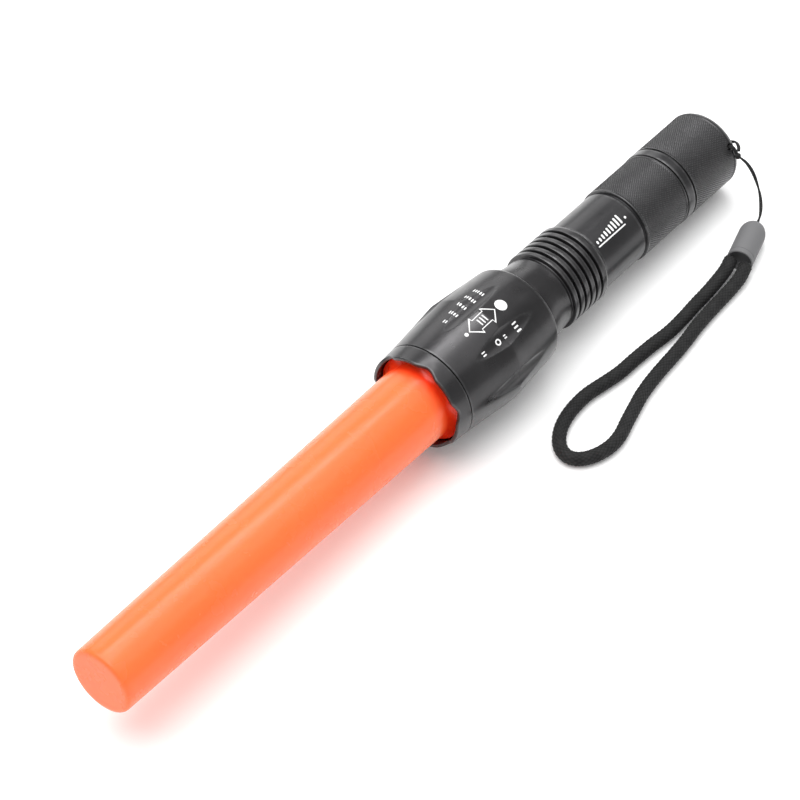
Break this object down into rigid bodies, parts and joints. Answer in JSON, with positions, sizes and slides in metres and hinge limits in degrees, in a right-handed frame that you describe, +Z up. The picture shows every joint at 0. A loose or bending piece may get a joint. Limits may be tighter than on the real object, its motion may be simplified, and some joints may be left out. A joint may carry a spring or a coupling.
{
  "type": "traffic baton light",
  "caption": "Hand-held traffic baton: a black zoom torch with a sliding head and tail switch, a hollow orange diffuser wand seated in its bezel, and a wrist lanyard.",
  "frame": {"origin": "on the surface the light lies on, below the centre of the bounding box of the light without its lanyard", "axes": "+X from the wand's tip towards the tail cap, +Z up; the light's own axis lies in the XZ plane and rises about 2.6 degrees towards the wand's tip"},
  "size_m": [0.2952, 0.069, 0.0378],
  "materials": {
    "anodised_black": "satin black anodised",
    "orange_diffuser": "translucent satin orange",
    "clear_glass": "polished clear",
    "seal_rubber": "matt black",
    "boot_rubber": "matt black",
    "bare_aluminium": "machined",
    "spring_steel": "bright drawn wire",
    "gilt_contact": "gilt",
    "board_green": "solder mask",
    "board_white": "white solder mask",
    "black_plastic": "moulded",
    "white_plastic": "moulded",
    "phosphor": "phosphor coated",
    "cell_wrap": "shrink wrap",
    "red_wire": "insulation",
    "ferrule_grey": "moulded, fine grained",
    "string_black": "twisted thread",
    "cord_black": "braided"
  },
  "bodies": {
    "light_body": {"battery_tube": "anodised_black", "tail_o_ring": "seal_rubber", "neck_o_ring": "seal_rubber", "cell": "cell_wrap", "cell_insulator": "white_plastic", "cell_button": "bare_aluminium", "cell_sleeve": "white_plastic", "neck_housing": "anodised_black", "zoom_o_ring_rear": "seal_rubber", "zoom_o_ring_front": "seal_rubber", "neck_stop_ring": "spring_steel", "led_pill": "bare_aluminium", "wire_red": "red_wire", "wire_black": "black_plastic", "driver_board": "board_green", "driver_inductor": "black_plastic", "driver_chip": "black_plastic", "driver_spring": "gilt_contact", "led_board": "board_white", "led_package": "phosphor", "led_dome": "clear_glass", "led_centring_ring": "white_plastic"},
    "zoom_head": {"head_barrel": "anodised_black", "bezel_ring": "anodised_black", "lens": "clear_glass", "lens_o_ring": "seal_rubber"},
    "wand": {"diffuser_wand": "orange_diffuser"},
    "tail_cap_assembly": {"tail_cap": "anodised_black", "boot_washer": "white_plastic", "click_switch": "black_plastic", "switch_board": "board_green", "switch_retaining_ring": "bare_aluminium", "tail_spring": "spring_steel", "lanyard_turn": "string_black", "lanyard_knot": "string_black", "lanyard_string": "string_black", "lanyard_ferrule": "ferrule_grey", "wrist_cord": "cord_black"},
    "button": {"switch_boot": "boot_rubber", "switch_plunger": "white_plastic"}
  },
  "joints": [
    {"name": "head_zoom", "type": "slide", "parent": "light_body", "child": "zoom_head", "axis": [0.999, 0, -0.045], "range_m": [0, 0.009]},
    {"name": "wand_pull_off", "type": "slide", "parent": "zoom_head", "child": "wand", "axis": [-0.999, 0, 0.045], "range_m": [0, 0.02]},
    {"name": "tail_cap_unscrew", "type": "slide", "parent": "light_body", "child": "tail_cap_assembly", "axis": [0.999, 0, -0.045], "range_m": [0, 0.014]},
    {"name": "button_press", "type": "slide", "parent": "tail_cap_assembly", "child": "button", "axis": [-0.999, 0, 0.045], "range_m": [0, 0.002], "stiffness_N_per_m": 500}
  ]
}
